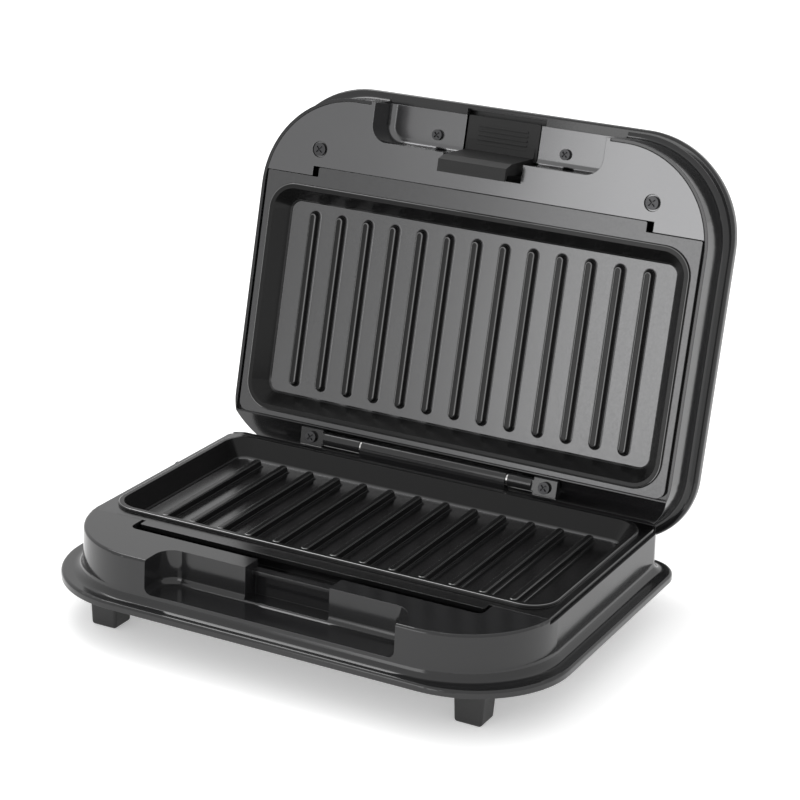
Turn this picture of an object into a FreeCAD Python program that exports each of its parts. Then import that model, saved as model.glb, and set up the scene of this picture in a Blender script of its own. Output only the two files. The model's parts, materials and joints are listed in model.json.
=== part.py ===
import math
import os
import re

import FreeCAD
import Part
import Sketcher

# Panini press with two ribbed plates, a latched lid and a rear hinge, in millimetres.
#
# Both halves are drawn in the same "half frame": x across, y from the front seam of the
# grill plate (0) towards the hinge, and z as depth from the plate's plane into the housing.
# The lid's pieces are placed with z upwards and the base's with z downwards, so what the two
# halves share is drawn once. The finished press stands on its feet with the lid open: the
# origin is under the middle of its overall box, +X is to the user's right and +Y is the rear.

SIZES = [
    # overall body
    ("body_width", 248.6, "width of the base's walls at the top"),
    ("body_front", 41.5, "front wall, in front of the plate seam"),
    ("body_rear", 134.0, "rear wall, behind the plate seam"),
    ("front_corner", 49.0, "radius of the front corners in plan"),
    ("rear_corner", 9.0, "radius of the base's rear corners in plan"),
    ("shell_depth", 26.0, "depth of each half from the plate plane to its rim"),
    ("wall", 2.2, "wall of every moulding"),
    ("wall_draft", 1.2, "draft of the side walls, degrees"),
    ("seam", 0.3, "gap between fitted mouldings"),
    ("rim_front", 7.5, "how far the base's rim stands out at the front"),
    ("rim_side", 9.7, "how far the base's rim stands out at the sides"),
    ("rim_rear", 8.0, "how far the base's rim stands out at the rear"),
    ("rim_corner", 52.0, "radius of the base rim's front corners in plan"),
    ("rim_height", 3.6, "height of the rim's edge"),
    ("rim_sweep", 4.8, "concave radius from wall to rim on the base"),
    ("rim_round", 1.5, "rounding of the rim's edge"),
    # lid
    ("lid_margin", 1.8, "how far the lid's walls stand outside the base's"),
    ("lid_overhang", 18.0, "how far the lid's rear wall stands behind the base's"),
    ("lid_rear_corner", 30.0, "radius of the lid's rear corners in plan"),
    ("lid_rim", 5.6, "how far the lid's rim stands out"),
    ("lid_rim_grow", 3.0, "how much wider the lid rim's corners are than its walls'"),
    ("lid_sweep", 3.0, "concave radius from wall to rim on the lid"),
    ("lid_lip", 1.6, "wall that stands round the lid's panel"),
    ("lid_ledge", 2.0, "width of the ledge that carries the panel and the plate"),
    ("slope_land", 0.8, "flat strip between the upper plate and the lid's sloping rear"),
    ("slope_rise", 8.0, "height of the lid's rear wall under its slope, rim included"),
    # grill plates
    ("plate_step", 2.6, "how much narrower a plate is than the base"),
    ("plate_inset", 3.8, "rear edge of each plate, in front of the base's rear wall"),
    ("plate_flange", 2.2, "thickness of the plate's flange"),
    ("plate_metal", 2.6, "thickness of the plate's dish"),
    ("bead_side", 3.5, "sealing bead, inside the plate's side edges"),
    ("bead_front", 4.9, "front of the sealing bead"),
    ("bead_back", 2.7, "sealing bead, inside the plate's rear edge"),
    ("bead_corner", 15.0, "corner radius of the sealing bead"),
    ("bead_band", 2.5, "width of the sealing bead"),
    ("bead_height", 1.6, "height of the sealing bead"),
    ("dish_depth", 8.0, "depth of the dish below the flange"),
    ("dish_slope", 41.0, "slope of the dish's sides, degrees from upright"),
    ("rib_count", 13, "number of grill ribs"),
    ("rib_side", 23.98, "middle of the outermost rib, inside the bead's side"),
    ("rib_lead", 13.8, "front end of the ribs, behind the bead's front"),
    ("rib_back", 14.2, "rear end of the ribs, in front of the bead's rear"),
    ("rib_width", 6.0, "width of a rib at its foot"),
    ("rib_height", 3.8, "height of a rib"),
    ("rib_draft", 14.0, "draft of a rib's sides, degrees"),
    ("tab_side", 30.0, "ends of the plate's front lip, inside the plate's sides"),
    ("tab_reach", 5.1, "reach of that lip"),
    # hinge
    ("closed_gap", 4.0, "gap between the two plate planes when closed"),
    ("hinge_behind", 2.6, "hinge axis behind the base's rear wall"),
    ("hinge_rise", 5.1, "hinge axis above the base's plate plane"),
    ("open_angle", 102.0, "how far the lid opens, degrees"),
    ("barrel_radius", 3.8, "outside radius of the hinge barrels"),
    ("ear_radius", 5.2, "outside radius of the bracket ears"),
    ("pin_radius", 1.5, "radius of the hinge pin and the latch pin"),
    ("pin_fit", 0.05, "running clearance round a pin"),
    ("trough_fit", 0.25, "clearance between the bracket ears and the lid's trough"),
    ("trough_floor", 4.6, "material under the lid's hinge trough"),
    ("knuckle_left", -46.0, "left end of the base's middle barrel"),
    ("knuckle_right", 38.0, "right end of the base's middle barrel"),
    ("left_ear", -76.0, "middle of the left bracket's ear"),
    ("right_ear", 60.0, "middle of the right bracket's ear"),
    ("ear_length", 13.0, "length of a bracket's ear"),
    ("ear_flat", 2.6, "screw seat of an ear, from the hinge axis"),
    ("washer_thick", 1.0, "thickness of a hinge washer"),
    ("bracket_post", 4.0, "radius of the posts that take the bracket screws"),
    # front pocket, latch and drip slot
    ("pocket_side", 17.6, "how much narrower the finger pocket is than the flat front"),
    ("pocket_back", 23.0, "back wall of the pocket, in front of the seam"),
    ("pocket_corner", 9.0, "corner radius at the back of the pocket"),
    ("pocket_round", 3.4, "rounding of the pocket's floor"),
    ("base_pocket_floor", 9.0, "base's pocket floor, short of the shell depth"),
    ("lid_pocket_floor", 5.7, "lid's pocket floor, short of the shell depth"),
    ("latch_bay", 45.0, "width of the latch bay"),
    ("latch_bay_back", 13.5, "back of the latch bay, in front of the seam"),
    ("keeper_top", 3.9, "depth of the keeper lip's top"),
    ("keeper_lip", 2.0, "thickness of the keeper lip"),
    ("keeper_front", 16.6, "front edge of the keeper lip, in front of the seam"),
    ("slot_side", 28.0, "ends of the drip slot, inside the plate's sides"),
    ("slot_front", 11.5, "front of the drip slot, in front of the seam"),
    ("slot_depth", 9.0, "depth of the drip slot"),
    ("arm_width", 38.0, "width of the latch's arm"),
    ("arm_front", 20.3, "front of the arm's tip, in front of the seam"),
    ("arm_thick", 3.2, "thickness of the arm"),
    ("arm_reach", 12.5, "how far the hook stands out of the lid's plate plane"),
    ("tooth_reach", 3.2, "reach of the hook's tooth"),
    ("tooth_thick", 2.5, "thickness of the hook's tooth"),
    ("grip_width", 41.0, "width of the latch's grip"),
    ("grip_stand", 1.9, "how far the grip stands out of the base's front"),
    ("grip_thick", 2.6, "thickness of the grip"),
    ("grip_lift", 0.7, "grip's face, below the lid's pocket floor"),
    ("grip_rib_step", 2.3, "distance between the grip's ribs"),
    ("grip_rib_count", 5, "number of the grip's ribs"),
    ("latch_axis_back", 20.0, "latch pin in front of the seam"),
    ("latch_axis_lift", 3.3, "latch pin, above the lid's pocket floor"),
    ("latch_boss", 4.2, "radius of the latch's boss"),
    # covers and feet
    ("cover_thick", 2.0, "thickness of the bottom cover"),
    ("cover_inset", 3.0, "how far the bottom cover lies inside the rim"),
    ("cover_boss_side", 44.3, "cover's front screws, inside the base's sides"),
    ("cover_boss_front", 21.5, "cover's front screws, behind the front wall"),
    ("cover_boss_back", 17.0, "cover's rear screws, in front of the plate's rear edge"),
    ("vent_width", 3.5, "width of a vent in the bottom cover"),
    ("vent_step", 12.5625, "distance from vent to vent"),
    ("vent_count", 9, "number of vents"),
    ("dome_height", 10.0, "height of the lid's top cover"),
    ("dome_round", 7.0, "rounding of the top cover's edge"),
    ("dome_inset", 1.0, "how far the top cover lies inside the lid's rim"),
    ("panel_screw_side", 30.3, "panel's front screws, inside the base's sides"),
    ("panel_screw_back", 14.5, "panel's front screws, in front of the seam"),
    ("pocket_screw_side", 36.5, "screws in the pocket's floor, from the middle"),
    ("pocket_screw_front", 7.5, "screws in the pocket's floor, in front of its back wall"),
    ("post_radius", 3.6, "radius of the posts that take those screws"),
    ("lens_side", 13.0, "lenses from the middle"),
    ("lens_front", 24.0, "lenses in front of the seam"),
    ("lens_radius", 3.5, "radius of a lens"),
    ("foot_width", 16.0, "width of a foot at the top"),
    ("foot_height", 19.0, "height of a foot"),
    ("foot_draft", 3.4, "draft of a foot's sides, degrees"),
    ("foot_inset", 25.8, "middle of a foot, inside the base's sides"),
    ("foot_behind", 19.5, "front feet, behind the front wall"),
    ("foot_before", 22.0, "rear feet, in front of the rear wall"),
    # heating
    ("element_radius", 3.25, "radius of the heating element's tube"),
    ("element_bend", 16.0, "radius of the element's bends"),
    ("element_side", 22.0, "element's legs, inside the reflector's sides"),
    ("element_front", 12.0, "element's front run, behind the reflector's front"),
    ("element_back", 6.0, "element's rear ends, inside the reflector's rear"),
    ("tray_metal", 0.8, "sheet thickness of the reflector"),
    ("tray_side", 13.5, "reflector, inside the bead's sides"),
    ("tray_lead", 13.1, "reflector, behind the bead's front"),
    ("tray_back", 11.5, "reflector, in front of the bead's rear"),
    ("tray_gap", 0.7, "gap between the element and the reflector's floor"),
    ("tray_screw_side", 48.0, "reflector's screws, inside its sides"),
    ("tray_screw_front", 26.0, "reflector's front screws, behind its front"),
    ("tray_screw_back", 24.0, "reflector's rear screws, in front of its rear"),
    ("screw_radius", 1.5, "radius of the screws' shanks"),
    ("screw_head", 3.4, "radius of the screws' heads"),
    ("head_height", 1.8, "height of the screws' heads"),
    ("gland_back", 88.0, "cord gland in the left wall, behind the seam"),
    ("gland_radius", 5.2, "radius of the cord gland's barrel"),
    ("gland_bore", 3.6, "radius of the cord gland's bore"),
    ("thermostat_radius", 8.0, "radius of a thermostat's case"),
    ("thermostat_height", 5.0, "height of a thermostat's case"),
]

# What follows from the sizes above, as formulas of the same sheet.
FOLLOWING = [
    ("lid_half", "body_width / 2 + lid_margin", "half the width of the lid's walls"),
    ("lid_front", "body_front + lid_margin", "lid's front wall, in front of the seam"),
    ("lid_corner", "front_corner + lid_margin", "radius of the lid's front corners"),
    ("lid_rear", "body_rear + lid_overhang", "lid's rear wall, behind the seam"),
    ("slope_depth", "shell_depth - slope_rise", "depth at which the lid's slope ends"),
    ("plate_width", "body_width - plate_step", "width of each plate's flange"),
    ("plate_rear", "body_rear - plate_inset", "rear edge of each plate"),
    ("bead_width", "plate_width - 2 * bead_side", "outside width of the sealing bead"),
    ("bead_rear", "plate_rear - bead_back", "rear of the sealing bead"),
    ("rib_pitch", "(bead_width - 2 * rib_side) / (rib_count - 1)", "distance from rib to rib"),
    ("rib_front", "bead_front + rib_lead", "front end of the ribs"),
    ("rib_rear", "bead_rear - rib_back", "rear end of the ribs"),
    ("tab_width", "plate_width - 2 * tab_side", "width of the lip on the plate's front edge"),
    ("slot_width", "plate_width - 2 * slot_side", "width of the drip slot"),
    ("hinge_back", "body_rear + hinge_behind", "hinge axis behind the seam"),
    ("hinge_depth", "hinge_rise - closed_gap", "depth of the hinge axis in the lid"),
    ("pocket_width", "body_width - 2 * front_corner - pocket_side", "width of the finger pocket"),
    ("base_pocket_depth", "shell_depth - base_pocket_floor", "depth of the base's pocket"),
    ("lid_pocket_depth", "shell_depth - lid_pocket_floor", "depth of the lid's pocket"),
    ("latch_axis_depth", "lid_pocket_depth - latch_axis_lift", "depth of the latch pin"),
    ("grip_top", "lid_pocket_depth + grip_lift", "depth of the grip's face"),
    ("grip_front", "body_front + grip_stand", "front edge of the grip, in front of the seam"),
    ("dish_under", "dish_depth + plate_metal", "underside of the dish"),
    ("tray_half", "bead_width / 2 - tray_side", "half the width of the reflector"),
    ("tray_front", "bead_front + tray_lead", "front of the reflector"),
    ("tray_rear", "bead_rear - tray_back", "rear of the reflector"),
    ("tray_depth", "2 * element_radius + tray_gap + tray_metal", "depth of the reflector below the dish"),
    ("element_half", "tray_half - element_side", "distance of the element's legs from the middle"),
    ("element_depth", "dish_under + element_radius", "depth of the element's middle"),
    ("gland_depth", "(plate_flange + seam + shell_depth - rim_height - rim_sweep) / 2",
     "depth of the cord gland's axis, half way up the flat of the wall"),
    ("boss_depth", "dish_under + 3.4", "depth at which the bottom cover's bosses start"),
    ("foot_side", "body_width / 2 - foot_inset", "distance of the feet from the middle"),
    ("foot_front", "body_front - foot_behind", "front feet, in front of the seam"),
    ("foot_rear", "body_rear - foot_before", "rear feet, behind the seam"),
    ("under_cover", "shell_depth + cover_thick", "underside of the bottom cover"),
]

doc = FreeCAD.newDocument("panini_press")
sheet = doc.addObject("Spreadsheet::Sheet", "Dims")
for row, (alias, entry, note) in enumerate(SIZES + FOLLOWING, start=1):
    sheet.set(f"A{row}", alias)
    sheet.set(f"B{row}", f"={entry}" if isinstance(entry, str) else str(entry))
    sheet.set(f"C{row}", note)
    sheet.setAlias(f"B{row}", alias)
doc.recompute()
ALIASES = {alias for alias, entry, note in SIZES + FOLLOWING}
X_AXIS = FreeCAD.Vector(1, 0, 0)
Y_AXIS = FreeCAD.Vector(0, 1, 0)
Z_AXIS = FreeCAD.Vector(0, 0, 1)
sub_parts = {}


def formula(text):
    """Write the sheet's name before each alias of a formula."""
    return re.sub(r"[a-z][a-z_]*", lambda word: ("Dims." if word.group(0) in ALIASES else "") + word.group(0),
                  str(text))


def value(text):
    """The number that a formula gives."""
    return float(sheet.evalExpression(formula(text)))


def bind(item, **sizes):
    """Bind each named property of an object to a formula of the sheet."""
    for name, text in sizes.items():
        item.setExpression(name, formula(text))


# ---------------------------------------------------------------- sketches and features

def new_body(name):
    return doc.addObject("PartDesign::Body", name)


def new_sketch(body, name, plane="XY", offset="0"):
    """A sketch on one of the body's own origin planes, moved along that plane's normal."""
    sketch = body.newObject("Sketcher::SketchObject", name)
    origin_plane = next(item for item in body.Origin.OriginFeatures if item.Role == plane + "_Plane")
    sketch.AttachmentSupport = [(origin_plane, "")]
    sketch.MapMode = "FlatFace"
    sketch.setExpression("AttachmentOffset.Base.z", formula(offset))
    return sketch


def hold(sketch, kind, geometry, point, text):
    """Hold one point of a sketch at a signed distance from the sketch's origin."""
    size = value(text)
    if abs(size) < 1e-9:
        axis = -2 if kind == "DistanceX" else -1
        sketch.addConstraint(Sketcher.Constraint("PointOnObject", geometry, point, axis))
        return
    if size > 0:
        index = sketch.addConstraint(Sketcher.Constraint(kind, -1, 1, geometry, point, size))
        sketch.setExpression(f"Constraints[{index}]", formula(text))
        return
    index = sketch.addConstraint(Sketcher.Constraint(kind, geometry, point, -1, 1, -size))
    sketch.setExpression(f"Constraints[{index}]", formula(f"-({text})"))


def rectangle(sketch, left, right, low, high, low_round="0", high_round="0"):
    """A rectangle whose two lower and two upper corners may be round."""
    x0, x1, y0, y1 = value(left), value(right), value(low), value(high)
    radii = [value(low_round), value(low_round), value(high_round), value(high_round)]
    texts = [low_round, low_round, high_round, high_round]
    corners = [(x0, y0), (x1, y0), (x1, y1), (x0, y1)]
    inward = [(1, 1), (-1, 1), (-1, -1), (1, -1)]
    along = [(1, 0), (0, 1), (-1, 0), (0, -1)]
    for side in range(4):
        start, end = corners[side], corners[(side + 1) % 4]
        step = along[side]
        first, last = radii[side], radii[(side + 1) % 4]
        sketch.addGeometry(Part.LineSegment(
            FreeCAD.Vector(start[0] + step[0] * first, start[1] + step[1] * first, 0),
            FreeCAD.Vector(end[0] - step[0] * last, end[1] - step[1] * last, 0)))
    for side in range(4):
        sketch.addConstraint(Sketcher.Constraint("Horizontal" if side % 2 == 0 else "Vertical", side))
    for corner in range(4):
        before = (corner - 1) % 4
        if radii[corner] <= 0:
            sketch.addConstraint(Sketcher.Constraint("Coincident", before, 2, corner, 1))
            continue
        radius = radii[corner]
        centre = FreeCAD.Vector(corners[corner][0] + inward[corner][0] * radius,
                                corners[corner][1] + inward[corner][1] * radius, 0)
        start = math.pi + corner * math.pi / 2
        circle = Part.Circle(centre, Z_AXIS, radius)
        arc = sketch.addGeometry(Part.ArcOfCircle(circle, start, start + math.pi / 2))
        sketch.addConstraint(Sketcher.Constraint("Tangent", before, 2, arc, 1))
        sketch.addConstraint(Sketcher.Constraint("Tangent", arc, 2, corner, 1))
        index = sketch.addConstraint(Sketcher.Constraint("Radius", arc, radius))
        sketch.setExpression(f"Constraints[{index}]", formula(texts[corner]))
    hold(sketch, "DistanceY", 0, 1, low)
    hold(sketch, "DistanceX", 1, 1, right)
    hold(sketch, "DistanceY", 2, 1, high)
    hold(sketch, "DistanceX", 3, 1, left)


def circle(sketch, across, along, radius):
    item = sketch.addGeometry(Part.Circle(FreeCAD.Vector(value(across), value(along), 0), Z_AXIS, value(radius)))
    index = sketch.addConstraint(Sketcher.Constraint("Radius", item, value(radius)))
    sketch.setExpression(f"Constraints[{index}]", formula(radius))
    hold(sketch, "DistanceX", item, 3, across)
    hold(sketch, "DistanceY", item, 3, along)


def polygon(sketch, points):
    """A closed outline of straight sides, each corner held by two formulas."""
    places = [FreeCAD.Vector(value(across), value(along), 0) for across, along in points]
    for index in range(len(places)):
        sketch.addGeometry(Part.LineSegment(places[index], places[(index + 1) % len(places)]))
    for index in range(len(places)):
        before = (index - 1) % len(places)
        sketch.addConstraint(Sketcher.Constraint("Coincident", before, 2, index, 1))
        hold(sketch, "DistanceX", index, 1, points[index][0])
        hold(sketch, "DistanceY", index, 1, points[index][1])


def pad(body, sketch, length, reverse=False, draft="0"):
    feature = body.newObject("PartDesign::Pad", sketch.Name + "_pad")
    feature.Profile = (sketch, [""])
    feature.Reversed = reverse
    bind(feature, Length=length)
    if draft != "0":
        bind(feature, TaperAngle=draft)
    body.Tip = feature
    return feature


def pocket(body, sketch, length, forward=True, draft="0"):
    """Cut a sketch away; forward cuts along the sketch's normal. Cutting nothing is a fault."""
    doc.recompute()
    before = body.Shape.Volume
    feature = body.newObject("PartDesign::Pocket", sketch.Name + "_cut")
    feature.Profile = (sketch, [""])
    feature.Reversed = forward
    bind(feature, Length=length)
    if draft != "0":
        bind(feature, TaperAngle=draft)
    body.Tip = feature
    doc.recompute()
    if not body.Shape.Volume < before - 0.01:
        raise RuntimeError(f"{body.Name}: {sketch.Name} cuts nothing")
    return feature


def slab(body, name, left, right, low, high, start, length, low_round="0", high_round="0", draft="0"):
    """Add a block from depth start, length deep."""
    sketch = new_sketch(body, name, "XY", start)
    rectangle(sketch, left, right, low, high, low_round, high_round)
    return pad(body, sketch, length, draft=draft)


def notch(body, name, left, right, low, high, start, length, low_round="0", high_round="0", draft="0"):
    """Cut a block away from depth start, length deep."""
    sketch = new_sketch(body, name, "XY", start)
    rectangle(sketch, left, right, low, high, low_round, high_round)
    return pocket(body, sketch, length, draft=draft)


def post(body, name, across, along, radius, start, length):
    sketch = new_sketch(body, name, "XY", start)
    circle(sketch, across, along, radius)
    return pad(body, sketch, length)


def hole(body, name, across, along, radius, start, length):
    sketch = new_sketch(body, name, "XY", start)
    circle(sketch, across, along, radius)
    return pocket(body, sketch, length)


def cross_rod(body, name, along, depth, radius, start, length):
    """A cylinder that runs across the press, from x = start."""
    sketch = new_sketch(body, name, "YZ", start)
    circle(sketch, along, depth, radius)
    return pad(body, sketch, length)


def cross_bore(body, name, along, depth, radius, start, length):
    sketch = new_sketch(body, name, "YZ", start)
    circle(sketch, along, depth, radius)
    return pocket(body, sketch, length)


def edges_where(shape, test):
    """Names of the edges whose every sampled point passes the test."""
    names = []
    for number, edge in enumerate(shape.Edges, start=1):
        points = edge.discretize(5)
        if all(test(point) for point in points):
            names.append(f"Edge{number}")
    return names


def fillet(body, radius, test):
    """Round the edges that pass the test."""
    doc.recompute()
    base = body.Tip
    names = edges_where(base.Shape, test)
    if not names:
        raise RuntimeError(f"{body.Name}: no edge to round after {base.Name}")
    feature = body.newObject("PartDesign::Fillet", base.Name + "_round")
    feature.Base = (base, names)
    bind(feature, Radius=radius)
    body.Tip = feature
    doc.recompute()
    return feature


def near(number, target, slack=0.02):
    return abs(number - target) < slack


def keep(item, label, side):
    """Name a finished sub-part and say which half carries it: base, lid, latch or middle."""
    item.Label = label
    sub_parts[label] = (item, side)
    return item


# ------------------------------------------------------------------------------ housings

def shell_walls(body, half, front, corner, rear, rear_round, rim, rim_corner, sweep):
    """The outer walls with the swept rim, solid so far; rim is how far it stands out at side, front and rear."""
    side, ahead, behind = rim
    slab(body, "walls", f"-({half})", half, f"-({front})", rear, "0", "shell_depth", corner, rear_round,
         draft="wall_draft")
    slab(body, "rim", f"-({half} + {side})", f"{half} + {side}", f"-({front} + {ahead})", f"{rear} + {behind}",
         "shell_depth - rim_height", "rim_height", rim_corner, f"{rear_round} + {behind}")
    rim_top = value("shell_depth - rim_height")
    reach = min(value(side), value(ahead), value(behind)) / 3
    doc.recompute()
    outer = rim_outline(f"{half} + {side}", f"{front} + {ahead}", f"{rear} + {behind}", rim_corner,
                        f"{rear_round} + {behind}", rim_top)
    for radius, on_edge in ((sweep, False), ("rim_round", True)):
        fillet(body, radius, lambda p: near(p.z, rim_top) and (
            outer.distToShape(Part.Vertex(p))[0] < reach) == on_edge)


def rim_outline(half, front, rear, front_round, rear_round, depth):
    """The outline of a rim's outer edge, to tell it from the foot of the walls."""
    half, front, rear = value(half), value(front), value(rear)
    near_round, far_round = value(front_round), value(rear_round)
    edges = []
    corners = [(-half, -front, 1, 1, near_round), (half, -front, -1, 1, near_round),
               (half, rear, -1, -1, far_round), (-half, rear, 1, -1, far_round)]
    ends = []
    for number, (across, along, inward, back, radius) in enumerate(corners):
        middle = FreeCAD.Vector(across + inward * radius, along + back * radius, depth)
        start = math.pi + number * math.pi / 2
        arc = Part.ArcOfCircle(Part.Circle(middle, Z_AXIS, radius), start, start + math.pi / 2)
        edges.append(arc.toShape())
        ends.append((arc.StartPoint, arc.EndPoint))
    for number in range(len(ends)):
        edges.append(Part.LineSegment(ends[number][1], ends[(number + 1) % len(ends)][0]).toShape())
    return Part.Compound(edges)


def round_pocket_floor(body, depth, half):
    """Round a finger pocket's floor into its back and side walls."""
    floor, back, side = value(depth), value("-pocket_back"), value(half)
    front = value("-body_front")
    fillet(body, "pocket_round", lambda p: near(p.z, floor) and p.y > front - 1.5 and (p.y > back - 12 or abs(p.x) > side - 1)
           and abs(p.x) < side + 0.1 and p.y < back + 0.1)


def base_housing():
    body = new_body("base_housing_body")
    shell_walls(body, "body_width / 2", "body_front", "front_corner", "body_rear", "rear_corner",
                ("rim_side", "rim_front", "rim_rear"), "rim_corner", "rim_sweep")
    # the plate lies on the walls behind the seam, flush with the front panel
    notch(body, "plate_seat", "-body_width", "body_width", "0", "plate_rear + seam", "0", "plate_flange + seam")
    front = value("-body_front")
    fillet(body, "1.4", lambda p: near(p.z, 0) and p.y < -0.5 and p.y > front - 1)
    # hollow inside
    inner = "body_width / 2 - wall"
    notch(body, "cavity", f"-({inner})", inner, "-body_front + wall", "body_rear - wall", "plate_flange",
          "shell_depth", "front_corner - wall", "rear_corner - wall")
    # finger pocket, latch bay and drip slot stand in the hollow as walls
    outer = "pocket_width / 2 + wall"
    slab(body, "pocket_walls", f"-({outer})", outer, "-body_front + wall / 2", "-pocket_back + wall",
         "wall / 2", "base_pocket_depth + wall / 2", "0", "pocket_corner + wall")
    slab(body, "bay_walls", "-latch_bay / 2 - wall", "latch_bay / 2 + wall", "-pocket_back", "-slot_front",
         "wall / 2", "base_pocket_depth + wall / 2")
    slab(body, "slot_walls", "-slot_width / 2 - wall", "slot_width / 2 + wall", "-slot_front - wall",
         "bead_front - 1", "plate_flange + seam", "slot_depth")
    slab(body, "panel_tie", "-slot_width / 2 - wall", "slot_width / 2 + wall", "-slot_front - wall", "-0.2",
         "wall / 2", "wall")
    notch(body, "pocket_hollow", "-pocket_width / 2", "pocket_width / 2", "-body_front - rim_front - 5",
          "-pocket_back", "0", "base_pocket_depth", "0", "pocket_corner")
    round_pocket_floor(body, "base_pocket_depth", "pocket_width / 2")
    notch(body, "bay_top", "-latch_bay / 2", "latch_bay / 2", "-pocket_back - 1", "-slot_front + 1",
          "0", "keeper_top")
    notch(body, "bay_front", "-latch_bay / 2", "latch_bay / 2", "-pocket_back - 1", "-keeper_front",
          "keeper_top - 1", "keeper_lip + 2")
    notch(body, "bay_under_lip", "-latch_bay / 2", "latch_bay / 2", "-pocket_back - 1", "-latch_bay_back + 0.4",
          "keeper_top + keeper_lip", "base_pocket_depth - keeper_top - keeper_lip")
    notch(body, "drip_slot", "-slot_width / 2", "slot_width / 2", "-slot_front", "1.6", "0", "slot_depth",
          "4", "0")
    # bosses for the bottom cover's screws
    for name, across, along, radius in cover_bosses():
        post(body, "boss" + name, across, along, radius, "boss_depth", "shell_depth - boss_depth - 0.4")
        hole(body, "pilot" + name, across, along, "screw_radius - 0.2", "shell_depth - 9", "10")
    # middle hinge barrel on its web
    left, right = "-knuckle_right", "-knuckle_left"
    slab(body, "hinge_web", left, right, "body_rear - wall", "hinge_back + 1.6", "-hinge_rise", "hinge_rise + 7")
    cross_rod(body, "barrel", "hinge_back", "-hinge_rise", "barrel_radius", left, f"{right} - ({left})")
    cross_bore(body, "pin_bore", "hinge_back", "-hinge_rise", "pin_radius + pin_fit", f"{left} - 1",
               f"{right} - ({left}) + 2")
    # hole for the cord gland, in the left wall
    cross_bore(body, "gland_hole", "gland_back", "gland_depth", "gland_radius + pin_fit",
               "body_width / 2 - wall - 3", "wall + 6")
    return keep(body, "base_housing", "base")


def cover_bosses():
    """The base cover's four screws: name, x, y and boss radius."""
    side, ahead = "body_width / 2 - cover_boss_side", "-(body_front - cover_boss_front)"
    corner, back = "body_width / 2 - 8", "plate_rear - cover_boss_back"
    return [("_a", f"-({side})", ahead, "4"), ("_b", side, ahead, "4"),
            ("_c", f"-({corner})", back, "6"), ("_d", corner, back, "6")]


def lid_housing():
    body = new_body("lid_housing_body")
    shell_walls(body, "lid_half", "lid_front", "lid_corner", "lid_rear", "lid_rear_corner",
                ("lid_rim", "lid_rim", "lid_rim"), "lid_corner + lid_rim_grow", "lid_sweep")
    # the rear slopes down to its wall, clear of the base when the lid stands open
    slope = "(plate_rear + seam + slope_land)"
    run = f"(lid_rear - {slope})"
    sketch = new_sketch(body, "slope", "YZ", "-2 * lid_half")
    polygon(sketch, [(slope, "-1"), ("lid_rear + 1", "-1"), ("lid_rear + 1", f"slope_depth + slope_depth / {run}"),
                     (slope, "0")])
    pocket(body, sketch, "4 * lid_half")
    # the panel and the plate drop in between the walls and rest on a ledge
    notch(body, "plate_seat", "-(lid_half - lid_lip)", "lid_half - lid_lip", "-lid_front + lid_lip",
          "plate_rear + seam", "0", "plate_flange + seam", "lid_corner - lid_lip", "0")
    ledge = "wall + lid_ledge"
    inside = "plate_rear - wall"
    notch(body, "under_plate", f"-(lid_half - ({ledge}))", f"lid_half - ({ledge})", f"-lid_front + {ledge}",
          inside, "plate_flange", "shell_depth", f"lid_corner - ({ledge})", "rear_corner - wall")
    notch(body, "cavity", "-(lid_half - wall)", "lid_half - wall", "-lid_front + wall", inside,
          "plate_flange + seam + 2", "shell_depth", "lid_corner - wall", "rear_corner - wall")
    notch(body, "rear_cavity", "-(lid_half - wall)", "lid_half - wall", "plate_rear / 2", "lid_rear - wall",
          "slope_depth + wall", "shell_depth", "5", "lid_rear_corner - wall")
    # hollow under the slope, from the floor of the hinge trough on
    floor = "hinge_depth + ear_radius + trough_fit + trough_floor"
    across_wall = f"wall * sqrt({run}^2 + slope_depth^2) / slope_depth"
    sketch = new_sketch(body, "slope_cavity", "YZ", "-(lid_half - lid_rear_corner)")
    polygon(sketch, [(f"{inside} - 10", "slope_depth + wall + 1"), (f"{inside} - 10", floor),
                     (f"{slope} - {across_wall} + {run} / slope_depth * ({floor})", floor),
                     ("lid_rear - wall", f"(lid_rear - wall - {slope} + {across_wall}) * slope_depth / {run}"),
                     ("lid_rear - wall", "slope_depth + wall + 1")])
    pocket(body, sketch, "2 * (lid_half - lid_rear_corner)")
    # openings in the front wall for the pocket and in the rim for the grip's swing
    gap = "pocket_width / 2 + wall / 2"
    notch(body, "pocket_gap", f"-({gap})", gap, "-lid_front - lid_rim - 5", "-pocket_back - wall - 9",
          "-1", "lid_pocket_depth + wall + 0.9")
    notch(body, "grip_gap", "-latch_bay / 2", "latch_bay / 2", "-lid_front - lid_rim + 2.4", "-pocket_back",
          "lid_pocket_depth - 1", "shell_depth")
    # trough for the hinge barrels, in a recess of the slope
    trough_left, trough_right = "left_ear - ear_length / 2 - 1", "right_ear + ear_length / 2 + 1"
    sketch = new_sketch(body, "trough", "YZ", trough_left)
    circle(sketch, "hinge_back", "hinge_depth", "ear_radius + trough_fit")
    pocket(body, sketch, f"{trough_right} - ({trough_left})")
    # screw posts for the hinge brackets
    for name, ear in (("_left", "left_ear"), ("_right", "right_ear")):
        post(body, "bracket_post" + name, ear, "hinge_back", "bracket_post",
             "hinge_depth + ear_radius + trough_fit + 1", "shell_depth - hinge_depth - ear_radius - trough_fit - 2")
        hole(body, "bracket_pilot" + name, ear, "hinge_back", "screw_radius - 0.2",
             "hinge_depth + ear_radius - 1", "10")
    return keep(body, "lid_housing", "lid")


# ---------------------------------------------------------------------------- lid's panel

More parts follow.
